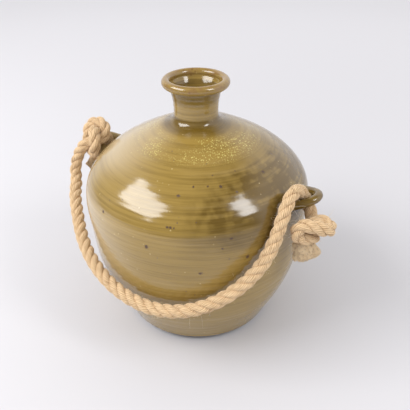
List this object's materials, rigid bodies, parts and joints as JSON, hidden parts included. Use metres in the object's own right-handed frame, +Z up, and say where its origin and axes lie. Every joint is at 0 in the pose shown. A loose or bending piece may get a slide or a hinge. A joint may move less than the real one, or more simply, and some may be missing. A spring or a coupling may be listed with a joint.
{
  "type": "decanter",
  "caption": "Round-bellied glazed stoneware decanter with a short rimmed neck, two coil lugs and a knotted rope handle that hangs across the front.",
  "frame": {"origin": "middle of the base, on the standing surface", "axes": "+Z up along the neck, the lugs on +X and -X, the rope handle hanging across the front on the -Y side"},
  "size_m": [0.279, 0.2222, 0.2426],
  "materials": {
    "glaze": "glossy olive celadon glaze, with a bare foot",
    "rope": "three-strand natural fibre rope"
  },
  "bodies": {
    "vessel": {"vessel_body": "glaze", "lug_left": "glaze", "lug_right": "glaze", "knot_left": "rope", "knot_right": "rope", "rope_tail_left": "rope", "rope_tail_right": "rope"},
    "handle": {"rope_handle": "rope"}
  },
  "joints": [
    {"name": "rope_swing", "type": "hinge", "parent": "vessel", "child": "handle", "pos_m": [-0.01025, -0.02325, 0.16025], "axis": [-0.9988, 0.0401, -0.0275], "range_deg": [0, 135]}
  ]
}
